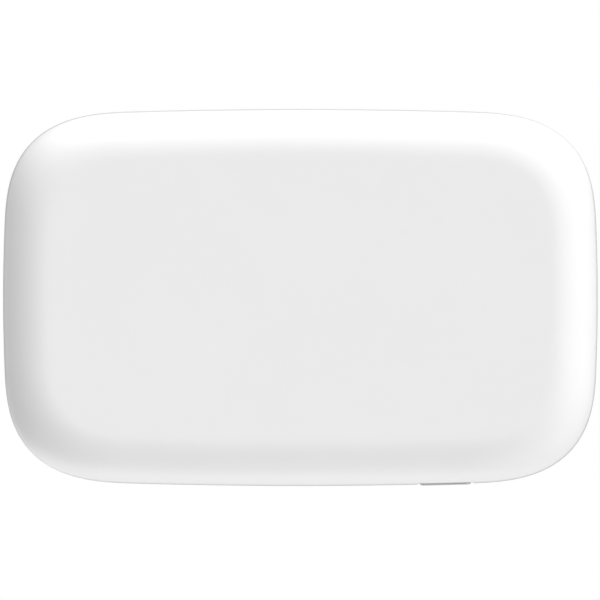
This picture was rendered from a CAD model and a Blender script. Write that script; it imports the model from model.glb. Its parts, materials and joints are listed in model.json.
"""Looks for the pocket mobile hotspot: fine shells, button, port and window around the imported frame."""

import json
import math

import bmesh
import bpy
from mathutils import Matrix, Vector


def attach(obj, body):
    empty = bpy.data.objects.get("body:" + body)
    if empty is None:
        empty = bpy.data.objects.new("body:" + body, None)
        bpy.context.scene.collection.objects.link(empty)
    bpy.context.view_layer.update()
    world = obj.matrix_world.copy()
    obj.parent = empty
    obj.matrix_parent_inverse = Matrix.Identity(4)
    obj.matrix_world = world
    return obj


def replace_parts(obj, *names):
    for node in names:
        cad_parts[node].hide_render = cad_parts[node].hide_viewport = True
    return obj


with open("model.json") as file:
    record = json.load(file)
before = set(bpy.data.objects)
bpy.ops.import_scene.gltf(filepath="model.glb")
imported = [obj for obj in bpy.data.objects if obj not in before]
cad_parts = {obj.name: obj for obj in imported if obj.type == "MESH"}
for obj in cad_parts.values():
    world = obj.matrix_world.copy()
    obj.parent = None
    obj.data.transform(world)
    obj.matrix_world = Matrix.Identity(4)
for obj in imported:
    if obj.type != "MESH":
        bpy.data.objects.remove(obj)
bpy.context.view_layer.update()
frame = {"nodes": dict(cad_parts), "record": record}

MM = 0.001

# ---------------------------------------------------------------- the body's driving dimensions, in millimetres
HALF_L, HALF_W, THICK = 53.0, 33.6, 15.5
ROLL_BACK_H, ROLL_BACK_V = 8.2, 7.2
ROLL_FRONT_H, ROLL_FRONT_V = 6.0, 5.9
CORNER_EDGE, CORNER_FLAT = (22.0, 19.9, 2.95), (13.0, 12.0, 2.60)
BOW_EDGE, BOW_FLAT = (1.77, 1.26), (1.50, 1.50)
COVER_WALL, FRAME_GAP, FRAME_WALL, HOUSING_WALL = 1.2, 0.3, 1.0, 1.3
COVER_RIM, HOUSING_RIM = 7.9, 8.15
FRAME_RIM = 8.8
BAY_X, BAY_Y, BAY_FLOOR = (-32.3, 26.3), 22.3, (7.2, 8.0)
SPRING_Y = (10.5, 13.5, 16.5)
BOSSES = ((-39.5, -18.5), (-39.5, 18.5), (38.5, -18.5), (38.5, 18.5))
BUTTON_X, BUTTON_HALF, BUTTON_Z, BUTTON_PROUD, BUTTON_CORNER = 25.9, 4.6, (9.5, 12.0), 0.23, 1.0
RELIEF_DEPTH, RELIEF_Z = 0.2, (4.5, 10.5)
USB_Z = 10.6
LENS_C, LENS_W, LENS_H = (0.0, 8.0), 52.0, 11.0
LED_X = (-18.0, -6.0, 6.0, 18.0)
SNAPS_LONG, SNAPS_SHORT = (-20.0, 20.0), (-11.0, 11.0)


# ================================================================ materials
class Graph:
    """A short way to write node trees."""

    def __init__(self, tree):
        self.tree = tree
        self.tree.nodes.clear()

    def node(self, kind, **values):
        made = self.tree.nodes.new(kind)
        for key, value in values.items():
            if key.startswith("_"):
                setattr(made, key[1:], value)
            else:
                self.put(made.inputs[key.replace("__", " ")], value)
        return made

    def put(self, socket, value):
        if isinstance(value, bpy.types.NodeSocket):
            self.tree.links.new(value, socket)
        elif isinstance(value, (tuple, list)) and len(value) == 3 and socket.type == "RGBA":
            socket.default_value = (*value, 1.0)
        else:
            socket.default_value = value

    def maths(self, operation, a, b=0.0, clamp=False):
        made = self.node("ShaderNodeMath", _operation=operation, _use_clamp=clamp)
        self.put(made.inputs[0], a)
        self.put(made.inputs[1], b)
        return made.outputs[0]

    def spread(self, value, low, high, to_low, to_high, smooth=False):
        made = self.node("ShaderNodeMapRange", _interpolation_type="SMOOTHSTEP" if smooth else "LINEAR")
        for i, v in enumerate((value, low, high, to_low, to_high)):
            self.put(made.inputs[i], v)
        return made.outputs[0]

    def mix(self, factor, a, b, blend="MIX"):
        made = self.node("ShaderNodeMix", _data_type="RGBA", _blend_type=blend)
        self.put(made.inputs[0], factor)
        self.put(made.inputs[6], a)
        self.put(made.inputs[7], b)
        return made.outputs[2]

    def noise(self, vector, scale, detail=2.0, rough=0.5):
        return self.node("ShaderNodeTexNoise", Vector=vector, Scale=scale, Detail=detail, Roughness=rough).outputs["Fac"]

    def dot(self, a, b):
        made = self.node("ShaderNodeVectorMath", _operation="DOT_PRODUCT")
        self.put(made.inputs[0], a)
        self.put(made.inputs[1], b)
        return made.outputs["Value"]

    def camera_tilt(self):
        """1 where the camera looks straight up, 0 where it looks level, -1 where it looks straight down."""
        up = self.node("ShaderNodeVectorTransform", _vector_type="VECTOR", _convert_from="WORLD", _convert_to="CAMERA")
        up.inputs[0].default_value = (0, 0, 1)
        return self.node("ShaderNodeSeparateXYZ", Vector=up.outputs[0]).outputs["Z"]

    def camera_below(self):
        """1 where the camera looks up at the object from under the floor, 0 where it looks down."""
        return self.spread(self.camera_tilt(), 0.0, 0.25, 0.0, 1.0)


def edge_mask(g, radius_mm, gain):
    """1 along convex and concave edges within the radius, 0 on open surface."""
    soft = g.node("ShaderNodeBevel", _samples=4, Radius=radius_mm * MM).outputs["Normal"]
    sharp = g.node("ShaderNodeNewGeometry").outputs["Normal"]
    return g.maths("MULTIPLY", g.maths("SUBTRACT", 1.0, g.dot(soft, sharp)), gain, clamp=True)


def finish(
    name, colour, rough, metal=0.0, grain=(9000.0, 0.10, 0.02), mottle=(60.0, 0.03), wear=None, stretch=(1, 1, 1), coat=0.0, rough_spread=0.06, ior=1.5, limb=0.0
):
    """A procedural surface: body colour with slow mottling, fine grain in the bump, uneven roughness and worn edges."""
    made = bpy.data.materials.new(name)
    made.use_nodes = True
    g = Graph(made.node_tree)
    where = g.node("ShaderNodeTexCoord").outputs["Object"]
    along = g.node("ShaderNodeMapping", Vector=where, Scale=stretch).outputs[0]
    slow = g.noise(where, mottle[0], 3.0)
    fine = g.noise(along, grain[0], 2.0, 0.6)
    base = g.mix(1.0, colour, g.node("ShaderNodeCombineColor", Red=g.spread(slow, 0.3, 0.7, 1 - mottle[1], 1 + mottle[1]), Green=g.spread(slow, 0.3, 0.7, 1 - mottle[1], 1 + mottle[1]), Blue=g.spread(slow, 0.3, 0.7, 1 - mottle[1] * 1.15, 1 + mottle[1])).outputs[0], "MULTIPLY")
    roughness = g.maths("ADD", rough, g.spread(g.noise(along, grain[0] * 0.08, 4.0), 0.3, 0.7, -rough_spread, rough_spread))
    if wear:
        radius, worn_colour, amount, worn_rough = wear
        patchy = g.spread(g.noise(where, 700.0, 4.0, 0.7), 0.38, 0.62, 0.25, 1.0, True)
        mask = g.maths("MULTIPLY", g.maths("MULTIPLY", edge_mask(g, radius, 3.0), patchy), amount, clamp=True)
        base = g.mix(mask, base, worn_colour)
        roughness = g.mix(mask, g.node("ShaderNodeCombineColor", Red=roughness, Green=roughness, Blue=roughness).outputs[0], (worn_rough,) * 3)
    if limb:
        facing = g.node("ShaderNodeLayerWeight", Blend=0.5).outputs["Facing"]
        rim = g.maths("MULTIPLY", g.spread(facing, 0.64, 1.0, 0.0, limb, True), g.camera_below())
        base = g.mix(rim, base, (0.02, 0.02, 0.02))
    bump = g.node("ShaderNodeBump", Strength=grain[1], Distance=grain[2] * MM, Height=fine).outputs[0]
    shader = g.node("ShaderNodeBsdfPrincipled", Roughness=roughness, Metallic=metal, IOR=ior, Normal=bump)
    g.put(shader.inputs["Base Color"], base)
    g.put(shader.inputs["Coat Weight"], coat)
    g.put(shader.inputs["Coat Roughness"], 0.05)
    out = g.node("ShaderNodeOutputMaterial")
    g.put(out.inputs["Surface"], shader.outputs[0])
    made.diffuse_color = (*colour, 1.0)
    return made


def board_finish():
    """Solder mask over copper tracks, with tinned pads."""
    made = finish("pcb_green", (0.018, 0.13, 0.055), 0.28, grain=(5000.0, 0.08, 0.01), mottle=(90.0, 0.06), coat=0.3)
    tree = made.node_tree
    shader = next(n for n in tree.nodes if n.type == "BSDF_PRINCIPLED")
    old = shader.inputs["Base Color"].links[0].from_socket
    g = Graph.__new__(Graph)
    g.tree = tree
    where = g.node("ShaderNodeTexCoord").outputs["Object"]
    cells = g.node("ShaderNodeTexVoronoi", _distance="MANHATTAN", _feature="F2", Vector=where, Scale=420.0).outputs["Distance"]
    tracks = g.maths("PINGPONG", cells, 0.06)
    lines = g.spread(tracks, 0.028, 0.034, 0.0, 0.55, True)
    g.put(shader.inputs["Base Color"], g.mix(lines, old, (0.045, 0.24, 0.10)))
    dots = g.node("ShaderNodeTexVoronoi", Vector=where, Scale=650.0, Randomness=0.6).outputs["Distance"]
    pads = g.spread(dots, 0.10, 0.13, 1.0, 0.0, True)
    fresh = g.mix(pads, shader.inputs["Base Color"].links[0].from_socket, (0.70, 0.68, 0.62))
    g.put(shader.inputs["Base Color"], fresh)
    return made


def label_finish():
    """Coated paper with one toned block and rows of grey bars that stand for print, laid out differently on each label."""
    made = finish("label_white", (0.74, 0.74, 0.72), 0.62, grain=(5200.0, 0.30, 0.012), mottle=(500.0, 0.025), wear=(0.08, (0.60, 0.59, 0.56), 0.5, 0.7))
    shader = next(n for n in made.node_tree.nodes if n.type == "BSDF_PRINCIPLED")
    paper = shader.inputs["Base Color"].links[0].from_socket
    g = Graph.__new__(Graph)
    g.tree = made.node_tree
    place = g.node("ShaderNodeSeparateXYZ", Vector=g.node("ShaderNodeTexCoord").outputs["Object"])
    x, y, z = (g.maths("MULTIPLY", place.outputs[axis], 1000.0) for axis in "XYZ")
    plate = g.maths("MULTIPLY", g.maths("FLOOR", g.maths("DIVIDE", z, 3.0)), 17.0)

    def within(value, low, high):
        return g.maths("MULTIPLY", g.maths("GREATER_THAN", value, low), g.maths("LESS_THAN", value, high))

    pitch, left = 1.7, -25.5
    row = g.maths("ADD", g.maths("FLOOR", g.maths("DIVIDE", y, pitch)), plate)
    word = g.maths("FLOOR", g.maths("DIVIDE", g.maths("SUBTRACT", x, left), 0.85))
    pick = g.node("ShaderNodeCombineXYZ", X=word, Y=row)
    gaps = g.node("ShaderNodeTexWhiteNoise", _noise_dimensions="2D", Vector=pick.outputs[0]).outputs["Value"]
    length = g.node("ShaderNodeTexWhiteNoise", _noise_dimensions="1D", W=row).outputs["Value"]
    solid = g.maths("MAXIMUM", g.maths("GREATER_THAN", gaps, 0.24), g.maths("LESS_THAN", word, 2.0))
    bars = within(g.maths("FRACT", g.maths("DIVIDE", y, pitch)), 0.30, 0.68)
    bars = g.maths("MULTIPLY", g.maths("MULTIPLY", bars, solid), within(x, left, g.spread(length, 0.0, 1.0, -14.0, 2.5)))
    bars = g.maths("MULTIPLY", bars, within(y, -6 * pitch, 5 * pitch))
    block = g.maths("MULTIPLY", within(x, left, 2.5), within(y, -13.4, -11.4))
    inked = g.mix(g.maths("MULTIPLY", bars, 0.72), paper, (0.16, 0.16, 0.17))
    inked = g.mix(g.maths("MULTIPLY", block, 0.88), inked, (0.10, 0.14, 0.19))
    g.put(shader.inputs["Base Color"], inked)
    return made


def glowing(name, colour, strength):
    made = finish(name, tuple(0.6 * c for c in colour), 0.35, grain=(6000.0, 0.05, 0.01), mottle=(900.0, 0.08))
    shader = next(n for n in made.node_tree.nodes if n.type == "BSDF_PRINCIPLED")
    shader.inputs["Emission Color"].default_value = (*colour, 1.0)
    shader.inputs["Emission Strength"].default_value = strength
    return made


LOOKS = {
    "white_shell": finish(
        "white_shell", (0.87, 0.87, 0.87), 0.46, grain=(7000.0, 0.05, 0.012), mottle=(45.0, 0.004), wear=(0.16, (0.78, 0.775, 0.76), 0.35, 0.30), rough_spread=0.03, limb=0.55
    ),
    "frame_black": finish("frame_black", (0.028, 0.029, 0.031), 0.58, grain=(4500.0, 0.35, 0.02), wear=(0.2, (0.07, 0.07, 0.072), 0.6, 0.40)),
    "button_grey": finish("button_grey", (0.50, 0.50, 0.505), 0.40, grain=(6000.0, 0.12, 0.015), mottle=(200.0, 0.03), wear=(0.18, (0.56, 0.56, 0.56), 0.5, 0.28)),
    "mark_grey": finish("mark_grey", (0.115, 0.115, 0.12), 0.5, grain=(6000.0, 0.12, 0.012), mottle=(500.0, 0.05)),
    "lens_black": finish("lens_black", (0.008, 0.008, 0.010), 0.06, grain=(900.0, 0.02, 0.01), mottle=(120.0, 0.10), rough_spread=0.02, coat=1.0, wear=(0.10, (0.03, 0.03, 0.034), 0.7, 0.15)),
    "clear_guide": finish("clear_guide", (0.72, 0.76, 0.78), 0.12, grain=(1500.0, 0.05, 0.01), coat=0.5, wear=(0.12, (0.85, 0.87, 0.88), 0.6, 0.3)),
    "foam": finish("foam", (0.022, 0.022, 0.023), 0.95, grain=(3800.0, 0.9, 0.08), mottle=(400.0, 0.2)),
    "tape": finish("tape", (0.045, 0.045, 0.05), 0.75, grain=(2500.0, 0.4, 0.02), mottle=(250.0, 0.1)),
    "pcb_green": board_finish(),
    "steel": finish("steel", (0.60, 0.60, 0.585), 0.27, 1.0, grain=(900.0, 0.12, 0.01), stretch=(1, 14, 14), mottle=(150.0, 0.06), wear=(0.12, (0.82, 0.82, 0.80), 0.6, 0.16)),
    "gold": finish("gold", (0.86, 0.60, 0.22), 0.22, 1.0, grain=(2600.0, 0.10, 0.01), mottle=(600.0, 0.06), wear=(0.08, (0.95, 0.80, 0.50), 0.6, 0.14)),
    "chip": finish("chip", (0.020, 0.020, 0.022), 0.50, grain=(6500.0, 0.35, 0.015), mottle=(300.0, 0.1), wear=(0.10, (0.06, 0.06, 0.062), 0.6, 0.35)),
    "led": glowing("led", (0.95, 0.90, 0.72), 0.6),
    "thermal": finish("thermal", (0.34, 0.42, 0.54), 0.82, grain=(3000.0, 0.5, 0.03), mottle=(300.0, 0.08)),
    "battery_wrap": finish("battery_wrap", (0.060, 0.060, 0.066), 0.36, grain=(1400.0, 0.15, 0.02), mottle=(80.0, 0.08), coat=0.25, wear=(0.35, (0.12, 0.12, 0.13), 0.5, 0.25)),
    "label_white": label_finish(),
    "flex_copper": finish("flex_copper", (0.72, 0.36, 0.17), 0.30, 1.0, grain=(2200.0, 0.12, 0.01), mottle=(200.0, 0.10), wear=(0.08, (0.90, 0.60, 0.38), 0.6, 0.2)),
}
GLOW_WHITE = glowing("icon_white", (0.92, 0.96, 1.0), 0.75)
GLOW_GREEN = glowing("icon_green", (0.30, 0.95, 0.42), 0.8)
GLOW_BLUE = glowing("icon_blue", (0.30, 0.62, 1.0), 0.9)

slot_of = {row["node"]: row["material_slot"] for row in frame["record"]["subparts"]}
for node_name, node in frame["nodes"].items():
    node.data.materials.clear()
    node.data.materials.append(LOOKS[slot_of[node_name]])


# ================================================================ mesh tools
def make(name, bm, look, angle=30.0, hidden=False):
    bmesh.ops.recalc_face_normals(bm, faces=bm.faces)
    mesh = bpy.data.meshes.new(name)
    bm.to_mesh(mesh)
    bm.free()
    mesh.shade_smooth()
    mesh.set_sharp_from_angle(angle=math.radians(angle))
    obj = bpy.data.objects.new(name, mesh)
    bpy.context.scene.collection.objects.link(obj)
    if look:
        mesh.materials.append(look)
    if hidden:
        obj.hide_render = True
    return obj


def add_rings(bm, rings):
    made = [[bm.verts.new(Vector(p) * MM) for p in ring] for ring in rings]
    count = len(made[0])
    for low, high in zip(made, made[1:]):
        for i in range(count):
            j = (i + 1) % count
            bm.faces.new((low[i], low[j], high[j], high[i]))
    bm.faces.new(list(reversed(made[0])))
    bm.faces.new(made[-1])


def loft(name, rings, look):
    bm = bmesh.new()
    add_rings(bm, rings)
    return make(name, bm, look)


def group(name, many, look=None):
    """Several closed lofts in one mesh, for cutting or joining in one go."""
    bm = bmesh.new()
    for rings in many:
        add_rings(bm, rings)
    return make(name, bm, look)


def rounded(cx, cy, w, h, r, seg=12):
    pts = []
    r = min(r, w / 2 - 1e-4, h / 2 - 1e-4)
    for qx, qy, start in ((1, 1, 0), (-1, 1, 90), (-1, -1, 180), (1, -1, 270)):
        for i in range(seg + 1):
            t = math.radians(start + 90 * i / seg)
            pts.append((cx + qx * (w / 2 - r) + r * math.cos(t), cy + qy * (h / 2 - r) + r * math.sin(t)))
    return pts


def slab(c, w, h, r, z, seg=12):
    ring = rounded(c[0], c[1], w, h, r, seg)
    return [[(px, py, hgt) for px, py in ring] for hgt in z]


def post(c, steps, n=32):
    return [[(c[0] + r * math.cos(2 * math.pi * i / n), c[1] + r * math.sin(2 * math.pi * i / n), z) for i in range(n)] for r, z in steps]


def apply_boolean(obj, other, operation="DIFFERENCE"):
    mod = obj.modifiers.new("cut", "BOOLEAN")
    mod.operation = operation
    mod.object = other
    mod.solver = "MANIFOLD"
    graph = bpy.context.evaluated_depsgraph_get()
    graph.update()
    mesh = bpy.data.meshes.new_from_object(obj.evaluated_get(graph), preserve_all_data_layers=True, depsgraph=graph)
    obj.modifiers.clear()
    obj.data = mesh
    bpy.data.objects.remove(other)
    return obj


def settle(obj, angle=28.0):
    """Welds what a boolean left behind and marks the hard edges again."""
    bm = bmesh.new()
    bm.from_mesh(obj.data)
    bmesh.ops.remove_doubles(bm, verts=bm.verts, dist=2e-7)
    bmesh.ops.dissolve_degenerate(bm, dist=1e-7, edges=bm.edges)
    bmesh.ops.recalc_face_normals(bm, faces=bm.faces)
    bm.to_mesh(obj.data)
    bm.free()
    obj.data.shade_smooth()
    obj.data.set_sharp_from_angle(angle=math.radians(angle))
    flat = obj.modifiers.new("flat_faces", "WEIGHTED_NORMAL")
    flat.mode, flat.weight, flat.keep_sharp = "FACE_AREA", 100, True
    return obj


# ================================================================ the body's surface
def mix(a, b, f):
    return a + (b - a) * f


def outline(inset, n_side=14, n_corner=44):
    f = inset / ROLL_BACK_H
    a, b = HALF_L - inset, HALF_W - inset
    ra, rb, e = (mix(p, q, f) for p, q in zip(CORNER_EDGE, CORNER_FLAT))
    sx, sy = (mix(p, q, f) for p, q in zip(BOW_EDGE, BOW_FLAT))
    quarter = [(a, mix(sy, b - rb, i / n_side)) for i in range(n_side)]
    for i in range(n_corner + 1):
        t = math.radians(90 * i / n_corner)
        c, s = math.cos(t), math.sin(t)
        r = (abs(c) ** e + abs(s) ** e) ** (-1 / e)
        quarter.append((a - ra + ra * r * c, b - rb + rb * r * s))
    quarter += [(mix(a - ra, sx, i / n_side), b) for i in range(1, n_side + 1)]
    quarter = [(u, v - sy * (u / a) ** 2) for u, v in quarter]
    quarter = [(u - sx * (y / b) ** 2, y) for u, y in quarter]
    quarter[0], quarter[-1] = (a, 0.0), (0.0, b)
    first, last = quarter[:-1], quarter[1:][::-1]
    return first + [(-x, y) for x, y in last] + [(-x, -y) for x, y in first] + [(x, -y) for x, y in last]


def roll(h, v, t, psi):
    s, c = math.sin(psi), math.cos(psi)
    n = math.hypot(v * s, h * c)
    return h * (1 - s) + t * v * s / n, v * (1 - c) + t * h * c / n


def ring_at(inset, z):
    return [(x, y, z) for x, y in outline(inset)]


def roll_rings(h, v, t, flip, steps=30):
    rings = []
    for extra in (3.0, 0.6, 0.15):
        z = t
        rings.append(ring_at(h + extra, THICK - z if flip else z))
    for i in range(steps + 1):
        inset, z = roll(h, v, t, math.radians(90 * i / steps))
        rings.append(ring_at(inset, THICK - z if flip else z))
    return rings


def wall_y(x, z):
    """Half width of the front housing's outer wall at (x, z)."""
    down = max(0.0, min(1.0, (THICK - z) / ROLL_FRONT_V))
    inset = 0.0 if down >= 1 else ROLL_FRONT_H * (1 - math.sqrt(max(0.0, 1 - (1 - down) ** 2)))
    f = inset / ROLL_BACK_H
    a = HALF_L - inset
    sx, sy = (mix(p, q, f) for p, q in zip(BOW_EDGE, BOW_FLAT))
    return (HALF_W - inset) - sy * ((abs(x) + sx) / a) ** 2


def button_relief():
    """A cutter for the shallow finger relief in the edge behind the button."""
    rows = []
    full, fade = BUTTON_HALF + 0.08, 0.5
    steps = [full + fade * (1 - i / 14) for i in range(14)]
    offsets = [-d for d in steps] + [full * (k - 12) / 12 for k in range(25)] + steps[::-1]
    for d in offsets:
        x, f = BUTTON_X + d, max(0.0, (abs(d) - full) / fade)
        y = wall_y(x, COVER_RIM) - RELIEF_DEPTH * (1 - f * f * (3 - 2 * f)) + 0.004 * f
        rows.append([(x, y, RELIEF_Z[0]), (x, y + 3, RELIEF_Z[0]), (x, y + 3, RELIEF_Z[1]), (x, y, RELIEF_Z[1])])
    return group("relief", [rows])


# ---------------------------------------------------------------- back cover
def build_cover():
    outer = roll_rings(ROLL_BACK_H, ROLL_BACK_V, 0.0, False)
    lip = [ring_at(0.0, 7.45), ring_at(0.0, COVER_RIM - 0.18)]
    for i in range(1, 7):
        t = math.radians(15 * i)
        lip.append(ring_at(0.18 * (1 - math.cos(t)), COVER_RIM - 0.18 + 0.18 * math.sin(t)))
    lip += [ring_at(COVER_WALL - 0.10, COVER_RIM), ring_at(COVER_WALL - 0.03, COVER_RIM - 0.03), ring_at(COVER_WALL, COVER_RIM - 0.10)]
    inner = roll_rings(ROLL_BACK_H, ROLL_BACK_V, COVER_WALL, False)[::-1]
    cover = loft("back_cover_shell", outer + lip + inner, LOOKS["white_shell"])
    tabs = []
    for x in SNAPS_LONG:
        for side in (-1, 1):
            y0, y1 = side * 31.75, side * 32.95
            shape = [(y1, 5.9), (y0, 6.15), (y0, 6.45), (y1, 6.7)]
            tabs.append([[(px, y, z) for y, z in shape] for px in (x - 2.5, x + 2.5)])
    for y in SNAPS_SHORT:
        for side in (-1, 1):
            x0, x1 = side * 51.05, side * 52.3
            shape = [(x1, 5.9), (x0, 6.15), (x0, 6.45), (x1, 6.7)]
            tabs.append([[(x, py, z) for x, z in shape] for py in (y - 2.0, y + 2.0)])
    apply_boolean(cover, group("tabs", tabs), "UNION")
    apply_boolean(cover, button_relief())
    settle(cover)
    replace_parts(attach(cover, "cover"), "back_cover")
    return cover


# ---------------------------------------------------------------- front housing
def mouth(cx, cz, w, h, r, side, lip, seg=14, back=29.0):
    """A cutter through the long wall with a rounded lip that follows the wall's surface."""
    rows = []

    def ring(grow, depth):
        pts = rounded(cx, cz, w + 2 * grow, h + 2 * grow, r + grow, seg)
        return [(x, side * (wall_y(x, z) - depth), z) for x, z in pts]

    rows.append([(x, side * back, z) for x, z in rounded(cx, cz, w, h, r, seg)])
    for i in range(7):
        t = math.radians(15 * i)
        rows.append(ring(lip * (1 - math.cos(t)), lip * (1 - math.sin(t))))
    rows.append(ring(lip * 1.02, -2.5))
    return rows


def build_housing():
    outer = roll_rings(ROLL_FRONT_H, ROLL_FRONT_V, 0.0, True)
    lip = [ring_at(0.0, 9.1), ring_at(0.0, HOUSING_RIM + 0.18)]
    for i in range(1, 7):
        t = math.radians(15 * i)
        lip.append(ring_at(0.18 * (1 - math.cos(t)), HOUSING_RIM + 0.18 - 0.18 * math.sin(t)))
    lip += [ring_at(HOUSING_WALL - 0.1, HOUSING_RIM), ring_at(HOUSING_WALL, HOUSING_RIM + 0.1)]
    inner = []
    for i in range(31):
        psi = math.radians(90 * i / 30)
        inset, z = roll(ROLL_FRONT_H, ROLL_FRONT_V, HOUSING_WALL + 0.1, psi)
        inner.append(ring_at(inset - 0.1 * math.sin(psi), THICK - z))
    inner = [ring_at(ROLL_FRONT_H + extra, THICK - HOUSING_WALL - 0.1) for extra in (3.0, 0.15)] + inner
    housing = loft("front_housing_shell", outer + lip + inner[::-1], LOOKS["white_shell"])
    bosses = [post(c, ((2.0, HOUSING_RIM - 0.05), (2.0, 10.45), (2.9, 10.45), (2.9, 14.5))) for c in BOSSES]
    apply_boolean(housing, group("bosses", bosses), "UNION")
    apply_boolean(housing, group("pilots", [post(c, ((0.85, 7.0), (0.85, 13.2)), 24) for c in BOSSES]))
    recess = []
    r = LENS_H / 2
    for grow, z in ((0, 14.6), (0, 15.36), (0.02, 15.41), (0.06, 15.46), (0.14, 15.5), (0.15, 15.6), (0.15, 17.0)):
        recess.append(slab(LENS_C, LENS_W + 2 * grow, LENS_H + 2 * grow, r + grow, (z,), 20)[0])
    apply_boolean(housing, group("recess", [recess]))
    apply_boolean(housing, group("light_windows", [post((x, LENS_C[1]), ((1.7, 13.0), (1.7, 15.0)), 28) for x in LED_X]))
    openings = [
        mouth(0, USB_Z, 9.6, 3.7, 1.849, -1, 0.28),
        mouth(BUTTON_X, sum(BUTTON_Z) / 2, 2 * BUTTON_HALF + 0.3, BUTTON_Z[1] - BUTTON_Z[0] + 0.3, BUTTON_CORNER + 0.15, 1, 0.10, 10),
    ]
    notch = rounded(0, 6.8, 9.0, 4.6, 0.9, 10)
    openings.append([[(x, y, z) for y, z in notch] for x in (52.1, 52.2, 55.0)])
    for i, opening in enumerate(openings):
        apply_boolean(housing, group(f"opening_{i}", [opening]))
    apply_boolean(housing, button_relief())
    settle(housing)
    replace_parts(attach(housing, "chassis"), "front_housing")
    return housing


# ---------------------------------------------------------------- mid frame
def build_frame():
    t0 = COVER_WALL + FRAME_GAP
    outer = roll_rings(ROLL_BACK_H, ROLL_BACK_V, t0, False)
    inner = roll_rings(ROLL_BACK_H, ROLL_BACK_V, t0 + FRAME_WALL, False)
    rim = [ring_at(t0, FRAME_RIM - 0.2), ring_at(t0 + 0.06, FRAME_RIM - 0.06), ring_at(t0 + 0.2, FRAME_RIM)]
    rim += [ring_at(t0 + FRAME_WALL - 0.12, FRAME_RIM), ring_at(t0 + FRAME_WALL, FRAME_RIM - 0.12)]
    body = loft("mid_frame_shell", outer + rim + inner[::-1], LOOKS["frame_black"])
    cx, w, top = sum(BAY_X) / 2, BAY_X[1] - BAY_X[0], BAY_FLOOR[1]
    add = [slab((cx, 0), w + 2, 2 * BAY_Y + 2, 1.2, (t0 + 0.2, top - 0.15), 6) + slab((cx, 0), w + 1.7, 2 * BAY_Y + 1.7, 1.05, (top,), 6)]
    add += [post(c, ((2.6, t0 + 0.2), (2.6, top - 0.1), (2.5, top)), 40) for c in BOSSES]
    add.append(post((-38.5, 5.0), ((1.6, t0 + 0.2), (1.6, 7.6)), 28))
    apply_boolean(body, group("frame_blocks", add), "UNION")
    soft = [(0.55 * (1 - math.cos(a)), 0.55 * (1 - math.sin(a))) for a in (math.radians(15 * i) for i in range(7))]
    pocket = slab((cx, 0), w, 2 * BAY_Y, 0.6, (BAY_FLOOR[0],), 8) + slab((cx, 0), w, 2 * BAY_Y, 0.6, (t0 + 0.55,), 8)
    pocket += [slab((cx, 0), w + 2 * out, 2 * (BAY_Y + out), 0.6 + out, (t0 + depth,), 8)[0] for out, depth in soft[1:]]
    pocket += [slab((cx, 0), w + 1.1, 2 * BAY_Y + 1.1, 1.15, (-1.0,), 8)[0]]
    apply_boolean(body, group("bay", [pocket[::-1]]))
    apply_boolean(body, group("bores", [post(c, ((2.2, -1), (2.2, t0 + 0.02), (1.7, t0 + 0.5), (1.7, BAY_FLOOR[0])), 40) for c in BOSSES]))
    holes = [post(c, ((1.0, BAY_FLOOR[0] - 0.5), (1.0, top + 1)), 28) for c in BOSSES]
    holes.append(post((-38.5, 5.0), ((1.1, -1), (1.1, t0 + 0.02), (0.75, t0 + 0.35), (0.75, 8.5)), 28))
    apply_boolean(body, group("holes", holes))
    apply_boolean(body, group("sim_window", [slab((19.15, -2.75), 14.298, 13.5, 0.5, (BAY_FLOOR[0] - 0.2, top + 0.3), 5)]))
    mouth_yz = rounded(13.5, (2.9 + 8.4) / 2, 10.6, 5.5, 0.4, 5)
    apply_boolean(body, group("connector_window", [[[(x, y, z) for y, z in mouth_yz] for x in (BAY_X[1] - 0.4, 31.4)]]))
    channels = []
    for x in SNAPS_LONG:
        for side in (-1, 1):
            ring = rounded(x, 5.75, 6.2, 3.5, 0.35, 4)
            channels.append([[(px, y, pz) for px, pz in ring] for y in sorted((side * 31.45, side * 33.5))])
    for y in SNAPS_SHORT:
        for side in (-1, 1):
            ring = rounded(y, 5.75, 5.2, 3.5, 0.35, 4)
            channels.append([[(x, py, pz) for py, pz in ring] for x in sorted((side * 50.75, side * 53.0))])
    apply_boolean(body, group("channels", channels))
    settle(body)
    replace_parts(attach(body, "chassis"), "mid_frame")


# ---------------------------------------------------------------- battery
def build_battery():
    x0, x1, half, z0, z1 = -32.0, 24.3, 22.0, 1.55, 7.0
    cz = (z0 + z1) / 2

    def section(x, shrink, r, seg=10):
        return [(x, y, z) for y, z in rounded(0, cz, 2 * (half - shrink), z1 - z0 - 2 * shrink, r - shrink, seg)]

    r, f = 1.25, 0.7
    ends = [(f * (1 - math.sin(a)), f * (1 - math.cos(a))) for a in (math.radians(15 * i) for i in range(7))]
    rows = [section(x0 + along, shrink, r) for shrink, along in ends]
    rows += [section(x1 - along, shrink, r) for shrink, along in [(0.25 * (1 - math.sin(a)), 0.25 * (1 - math.cos(a))) for a in (math.radians(30 * i) for i in (3, 2, 1, 0))]]
    cell = loft("battery_cell_wrap", rows, LOOKS["battery_wrap"])
    fold = [(x0 + 1.2, -half - 0.03), (x1 - 0.6, -half - 0.03), (x1 - 0.6, -half + 0.3), (x0 + 1.2, -half + 0.3)]
    apply_boolean(cell, group("wrap_fold", [[[(x, y, z) for x, y in fold] for z in (cz - 0.9, cz + 1.1)]]), "UNION")
    settle(cell)
    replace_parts(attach(cell, "battery"), "battery_cell")

    f = 0.35
    rows = [section(24.34, 0.0, 0.9)]
    rows += [section(26.0 - f + f * math.sin(a), f * (1 - math.cos(a)), 0.9) for a in (math.radians(15 * i) for i in range(7))]
    cap = loft("battery_end_cap", rows, LOOKS["frame_black"])
    wells = []
    for y in SPRING_Y:
        ring = rounded(y, 5.0, 2.3, 3.2, 0.15, 4)
        wells.append([[(x, py, pz) for py, pz in ring] for x in (25.8, 27.0)])
    apply_boolean(cap, group("pad_wells", wells))
    settle(cap)
    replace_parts(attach(cap, "battery"), "battery_cap")


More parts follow.
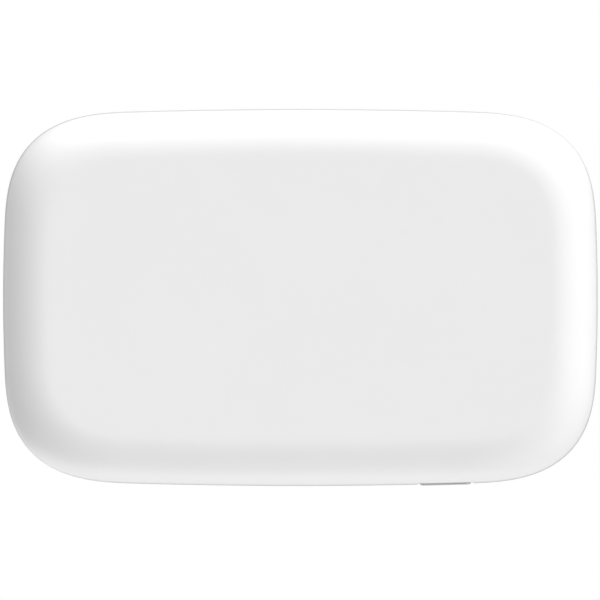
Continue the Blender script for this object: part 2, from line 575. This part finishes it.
# ---------------------------------------------------------------- power button
def build_button():
    cz, hx, hz = sum(BUTTON_Z) / 2, BUTTON_HALF - 0.01, (BUTTON_Z[1] - BUTTON_Z[0]) / 2 - 0.01
    fillet, nx, nz = 0.32, 96, 36

    def top(x, z):
        px, pz = abs(x - BUTTON_X) - (hx - BUTTON_CORNER), abs(z - cz) - (hz - BUTTON_CORNER)
        sd = math.hypot(max(px, 0), max(pz, 0)) + min(max(px, pz), 0) - BUTTON_CORNER
        d = max(-sd, 0.0)
        drop = 0.0 if d >= fillet else fillet - math.sqrt(max(0.0, fillet**2 - (fillet - d) ** 2))
        return button_wall(x, z) - drop

    def button_wall(x, z):
        flat = wall_y(x, BUTTON_Z[0])
        return flat - 0.75 * (flat - wall_y(x, z)) + BUTTON_PROUD

    rows = []
    for i in range(nx + 1):
        x = BUTTON_X - hx - 0.02 + (2 * hx + 0.04) * i / nx
        zs = [cz - hz - 0.02 + (2 * hz + 0.04) * k / nz for k in range(nz + 1)]
        rows.append([(x, 30.4, zs[0]), *[(x, top(x, z), z) for z in zs], (x, 30.4, zs[-1])])
    button = loft("power_button_cap", rows, LOOKS["button_grey"])
    ring = rounded(BUTTON_X, cz, 2 * hx, 2 * hz, BUTTON_CORNER, 14)
    apply_boolean(button, group("outline_bar", [[[(x, d, z) for x, z in ring] for d in (28, 36)]]), "INTERSECT")
    flange = rounded(BUTTON_X, (9.05 + 12.3) / 2, 10.8, 3.25, 0.3, 4)
    rib = rounded(BUTTON_X, 11.3, 2.6, 1.4, 0.2, 4)
    apply_boolean(button, group("flange", [[[(x, d, z) for x, z in flange] for d in (30.0, 30.66)]]), "UNION")
    apply_boolean(button, group("rib", [[[(x, d, z) for x, z in rib] for d in (29.65, 30.4)]]), "UNION")
    settle(button)
    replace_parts(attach(button, "button"), "power_button")

    def raised(points):
        """A closed flat shape that follows the button's face and stands just proud of it."""
        return [[(x, top(x, z) + d, z) for x, z in points] for d in (-0.02, 0.018)]

    open_ring = []
    for r, order in ((0.62, 1), (0.48, -1)):
        angles = [math.radians(122 + 296 * i / 40) for i in range(41)][::order]
        open_ring += [(BUTTON_X + r * math.cos(t), cz + r * math.sin(t)) for t in angles]
    mark = group("power_mark", [raised(open_ring), raised(rounded(BUTTON_X, cz + 0.42, 0.14, 0.62, 0.05, 4))], LOOKS["mark_grey"])
    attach(mark, "button")
    return button


# ---------------------------------------------------------------- status-light window
def build_lens():
    w, h, z0, z1, f = LENS_W - 0.3, LENS_H - 0.3, 14.74, 15.45, 0.22
    rings = [slab(LENS_C, w - 0.1, h - 0.1, h / 2 - 0.05, (z0,), 24)[0], slab(LENS_C, w, h, h / 2, (z0 + 0.05,), 24)[0], slab(LENS_C, w, h, h / 2, (z1 - f,), 24)[0]]
    for i in range(1, 9):
        t = math.radians(90 * i / 8)
        g = f * (1 - math.cos(t))
        rings.append(slab(LENS_C, w - 2 * g, h - 2 * g, h / 2 - g, (z1 - f + f * math.sin(t),), 24)[0])
    for g in (0.3, 0.8, 1.6, 2.6, 3.6, 4.6):
        crown = 0.03 * (1 - ((h / 2 - g) / (h / 2 - 0.22)) ** 2)
        rings.append(slab(LENS_C, w - 2 * g, h - 2 * g, h / 2 - g, (z1 + crown,), 24)[0])
    lens = loft("led_window", rings, LOOKS["lens_black"])
    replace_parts(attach(lens, "chassis"), "led_lens")

    z = (15.44, 15.485)
    y0 = LENS_C[1]

    def arc(cx, cy, r0, r1, a0, a1, n=18):
        ang = [math.radians(a0 + (a1 - a0) * i / n) for i in range(n + 1)]
        pts = [(cx + r1 * math.cos(t), cy + r1 * math.sin(t)) for t in ang] + [(cx + r0 * math.cos(t), cy + r0 * math.sin(t)) for t in reversed(ang)]
        return [[(x, y, h) for x, y in pts] for h in z]

    bars = []
    for i in range(4):
        height = 0.75 + 0.65 * i
        x = LED_X[0] - 1.35 + 0.9 * i
        bars.append(slab((x, y0 - 1.3 + height / 2), 0.56, height, 0.12, z, 4))
    symbols = [group("icon_signal", bars, GLOW_WHITE)]
    x = LED_X[1]
    waves = [post((x, y0 - 1.15), ((0.34, z[0]), (0.34, z[1])), 24)]
    waves += [arc(x, y0 - 1.15, r, r + 0.38, 45, 135) for r in (0.80, 1.55, 2.30)]
    symbols.append(group("icon_wireless", waves, GLOW_BLUE))
    x = LED_X[2]
    arrows = []
    for dx, up in ((-0.85, 1), (0.85, -1)):
        tip, neck, tail = y0 + up * 1.35, y0 + up * 0.25, y0 - up * 1.3
        pts = [(x + dx, tip), (x + dx - up * 0.78, neck), (x + dx - up * 0.24, neck), (x + dx - up * 0.24, tail), (x + dx + up * 0.24, tail), (x + dx + up * 0.24, neck), (x + dx + up * 0.78, neck)]
        arrows.append([[(px, py, hgt) for px, py in pts] for hgt in z])
    symbols.append(group("icon_data", arrows, GLOW_WHITE))
    x = LED_X[3]
    case = group("icon_battery_case", [slab((x, y0), 4.3, 2.4, 0.45, z, 6)], GLOW_GREEN)
    apply_boolean(case, group("case_hollow", [slab((x, y0), 3.74, 1.84, 0.2, (15.0, 16.0), 5)]))
    settle(case)
    symbols.append(case)
    levels = [slab((x - 1.12 + 1.12 * i, y0), 0.70, 1.10, 0.1, z, 3) for i in range(3)]
    levels.append(slab((x + 2.42, y0), 0.30, 1.0, 0.1, z, 3))
    symbols.append(group("icon_battery_level", levels, GLOW_GREEN))
    for s in symbols:
        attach(s, "chassis")


# ---------------------------------------------------------------- charging port
def build_port():
    w, h = 8.94, 3.2
    r = h / 2

    def ring(grow, y, seg=14):
        return [(x, y, z) for x, z in rounded(0, USB_Z, w + 2 * grow, h + 2 * grow, r + grow, seg)]

    rows = [ring(0, -24.8), ring(0, -31.85)]
    for i in range(1, 5):
        t = math.radians(22.5 * i)
        rows.append(ring(-0.15 * (1 - math.cos(t)), -31.85 - 0.15 * math.sin(t)))
    for i in range(1, 5):
        t = math.radians(22.5 * i)
        rows.append(ring(-0.15 - 0.15 * math.sin(t), -31.85 - 0.15 * math.cos(t)))
    rows.append(ring(-0.3, -25.1))
    shell = loft("usb_receptacle_shell", rows, LOOKS["steel"])
    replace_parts(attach(shell, "chassis"), "usb_shell")

    def tongue_ring(y, hw, hh, rr):
        return [(x, y, z) for x, z in rounded(0, USB_Z, 2 * hw, 2 * hh, rr, 6)]

    rows = [tongue_ring(-25.5, 3.35, 0.35, 0.2), tongue_ring(-30.8, 3.35, 0.35, 0.2), tongue_ring(-30.95, 3.28, 0.28, 0.2), tongue_ring(-31.0, 3.15, 0.18, 0.12)]
    tongue = loft("usb_receptacle_tongue", rows, LOOKS["chip"])
    base = [[(x, y, z) for x, z in rounded(0, USB_Z, w - 0.8, h - 0.8, h / 2 - 0.42, 10)] for y in (-26.4, -25.14)]
    apply_boolean(tongue, group("usb_base", [base]), "UNION")
    settle(tongue)
    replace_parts(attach(tongue, "chassis"), "usb_tongue")
    for side, tag in ((1, "upper"), (-1, "lower")):
        strips = []
        for k in range(12):
            cx = (k - 5.5) * 0.5
            z0, z1 = sorted((USB_Z + side * 0.34, USB_Z + side * 0.37))
            strips.append(slab((cx, -28.7), 0.26, 3.7, 0.08, (z0, z1), 3))
        contacts = group(f"usb_contacts_{tag}", strips, LOOKS["gold"])
        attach(contacts, "chassis")


build_cover()
build_housing()
build_frame()
build_battery()
build_button()
build_lens()
build_port()


# ================================================================ stage, light and camera
BACKDROP = 0.84


def build_floor():
    bm = bmesh.new()
    rows = [[(r * math.cos(2 * math.pi * i / 96), r * math.sin(2 * math.pi * i / 96)) for i in range(96)] for r in (0.2, 1.0, 4.0)]
    made = [[bm.verts.new((x, y, -0.00004)) for x, y in row] for row in rows]
    bm.faces.new(made[0])
    for low, high in zip(made, made[1:]):
        for i in range(96):
            j = (i + 1) % 96
            bm.faces.new((low[i], high[i], high[j], low[j]))
    bmesh.ops.recalc_face_normals(bm, faces=bm.faces)
    mesh = bpy.data.meshes.new("studio_floor")
    bm.to_mesh(mesh)
    bm.free()
    if mesh.polygons[0].normal.z < 0:
        mesh.flip_normals()
    floor = bpy.data.objects.new("studio_floor", mesh)
    bpy.context.scene.collection.objects.link(floor)
    floor.visible_diffuse = floor.visible_glossy = floor.visible_transmission = floor.visible_shadow = floor.visible_volume_scatter = False
    look = bpy.data.materials.new("studio_floor")
    look.use_nodes = True
    g = Graph(look.node_tree)
    info = g.node("ShaderNodeNewGeometry")
    radius = g.node("ShaderNodeVectorMath", _operation="LENGTH")
    g.put(radius.inputs[0], info.outputs["Position"])
    tone = g.mix(g.noise(info.outputs["Position"], 9.0, 3.0), (0.815, 0.816, 0.820), (0.825, 0.825, 0.825))
    near = g.node("ShaderNodeAmbientOcclusion", _samples=8, Distance=0.022).outputs["AO"]
    tone = g.mix(g.spread(near, 0.25, 1.0, 0.0, 1.0, True), g.mix(1.0, tone, (0.42, 0.43, 0.45), "MULTIPLY"), tone)
    matt = g.node("ShaderNodeBsdfDiffuse", Color=tone)
    white = g.node("ShaderNodeEmission", Color=(1, 1, 1), Strength=BACKDROP)
    fade = g.spread(radius.outputs["Value"], 0.09, 0.75, 0.0, 1.0, True)
    top = g.node("ShaderNodeMixShader")
    g.put(top.inputs[0], fade)
    g.put(top.inputs[1], matt.outputs[0])
    g.put(top.inputs[2], white.outputs[0])
    clear = g.node("ShaderNodeBsdfTransparent")
    both = g.node("ShaderNodeMixShader")
    g.put(both.inputs[0], info.outputs["Backfacing"])
    g.put(both.inputs[1], top.outputs[0])
    g.put(both.inputs[2], clear.outputs[0])
    g.put(g.node("ShaderNodeOutputMaterial").inputs["Surface"], both.outputs[0])
    mesh.materials.append(look)


def sun(name, towards, power, spread_deg, below):
    """A broad, parallel soft light from the given direction, for cameras on one side of the floor."""
    data = bpy.data.lights.new(name, "SUN")
    data.energy = power
    data.angle = math.radians(spread_deg)
    data.use_nodes = True
    g = Graph(data.node_tree)
    if below:
        # eased off where the near walls face the camera, so that they keep their shape
        factor = g.maths("MULTIPLY", g.camera_below(), g.spread(g.camera_tilt(), 0.65, 0.95, 0.66, 1.0))
    else:
        factor = g.maths("SUBTRACT", 1.0, g.camera_below())
    emit = g.node("ShaderNodeEmission", Color=(1, 1, 1), Strength=factor)
    g.put(g.node("ShaderNodeOutputLight").inputs["Surface"], emit.outputs[0])
    lamp = bpy.data.objects.new(name, data)
    lamp.rotation_mode = "QUATERNION"
    lamp.rotation_quaternion = Vector(towards).to_track_quat("Z", "Y")
    lamp.location = Vector(towards).normalized() * 1.5
    bpy.context.scene.collection.objects.link(lamp)
    return lamp


def build_light():
    world = bpy.data.worlds.new("studio")
    bpy.context.scene.world = world
    world.use_nodes = True
    g = Graph(world.node_tree)
    path = g.node("ShaderNodeLightPath")
    way = g.node("ShaderNodeTexCoord").outputs["Generated"]
    z = g.node("ShaderNodeSeparateXYZ", Vector=way).outputs["Z"]
    boxes = 0.0
    for centre, inner, outer, level in (((-0.40, 0.36, 0.84), 0.985, 0.90, 1.5), ((0.42, -0.46, 0.78), 0.99, 0.90, 1.2)):
        near = g.dot(way, Vector(centre).normalized())
        boxes = g.maths("ADD", boxes, g.spread(near, outer, inner, 0.0, level, True))
    under = g.maths("ADD", g.spread(z, -0.2, 0.5, 0.26, 0.30, True), boxes)
    room = g.maths("SUBTRACT", g.spread(z, -1.0, 0.15, 0.10, 0.56, True), g.spread(z, 0.3, 1.0, 0.0, 0.34))
    mirrored = g.spread(z, 0.05, 0.75, 0.07, 0.30, True)
    over = g.maths("ADD", g.node("ShaderNodeMix", _data_type="FLOAT", Factor=path.outputs["Is Glossy Ray"], A=room, B=mirrored).outputs[0], boxes)
    level = g.node("ShaderNodeMix", _data_type="FLOAT", Factor=g.camera_below(), A=over, B=under).outputs[0]
    light = g.node("ShaderNodeBackground", Color=(1, 1, 1), Strength=level)
    seen = g.node("ShaderNodeBackground", Color=(1, 1, 1), Strength=g.spread(g.camera_below(), 0.0, 1.0, BACKDROP, 1.0))
    pick = g.node("ShaderNodeMixShader")
    g.put(pick.inputs[0], path.outputs["Is Camera Ray"])
    g.put(pick.inputs[1], light.outputs[0])
    g.put(pick.inputs[2], seen.outputs[0])
    g.put(g.node("ShaderNodeOutputWorld").inputs["Surface"], pick.outputs[0])
    for row in LIGHTS_BELOW:
        sun(*row, True)
    for row in LIGHTS_ABOVE:
        sun(*row, False)


LIGHTS_BELOW = (
    ("back_near_right", (0.62, 0.28, -0.73), 0.143, 30),
    ("back_right", (0.88, -0.05, -0.47), 0.276, 30),
    ("back_centre_right", (0.50, -0.30, -0.81), 0.260, 30),
    ("back_right_rim", (0.97, 0.05, 0.10), 0.206, 30),
    ("back_top", (0.30, -0.82, -0.46), 0.956, 30),
    ("back_top_low", (0.10, -0.97, -0.22), 0.450, 30),
    ("back_top_right", (0.65, -0.72, -0.22), 0.623, 30),
    ("back_top_left_rim", (-0.40, -0.91, 0.02), 0.631, 30),
    ("back_top_left", (-0.35, -0.75, -0.55), 0.894, 30),
    ("back_bottom_rim", (-0.15, 0.97, 0.13), 0.523, 30),
    ("back_bottom_low", (0.20, 0.97, -0.10), 0.221, 30),
    ("back_bottom", (0.30, 0.80, -0.50), 0.768, 30),
    ("back_bottom_right", (0.75, 0.60, -0.25), 0.550, 30),
    ("back_bottom_left", (-0.55, 0.78, 0.30), 0.637, 30),
)
LIGHTS_ABOVE = (
    ("front_key", (-0.35, -0.20, 0.92), 0.52, 30),
    ("front_fill", (0.60, 0.45, 0.66), 0.16, 40),
    ("side_near", (0.25, -0.86, 0.44), 0.42, 24),
    ("side_right", (0.88, 0.12, 0.45), 0.34, 24),
    ("side_far", (-0.20, 0.87, 0.45), 0.42, 24),
    ("side_left", (-0.88, -0.10, 0.46), 0.42, 24),
)


def build_camera():
    data = bpy.data.cameras.new("camera")
    data.lens, data.sensor_width, data.clip_start, data.clip_end = 700.0, 36.0, 0.01, 50.0
    camera = bpy.data.objects.new("camera", data)
    bpy.context.scene.collection.objects.link(camera)
    px = 0.17831 * MM
    distance = (600 * px / 2) / (data.sensor_width / 2 / data.lens)
    camera.location = (-0.4 * px, 2.46 * px, 7.5 * MM - distance)
    camera.rotation_euler = (math.pi, 0, 0)
    bpy.context.scene.camera = camera


build_floor()
build_light()
build_camera()
bpy.context.scene.view_settings.view_transform = "Standard"
bpy.context.scene.view_settings.look = "None"
bpy.context.scene.view_settings.exposure = 0.0
bpy.context.scene.view_settings.gamma = 1.0
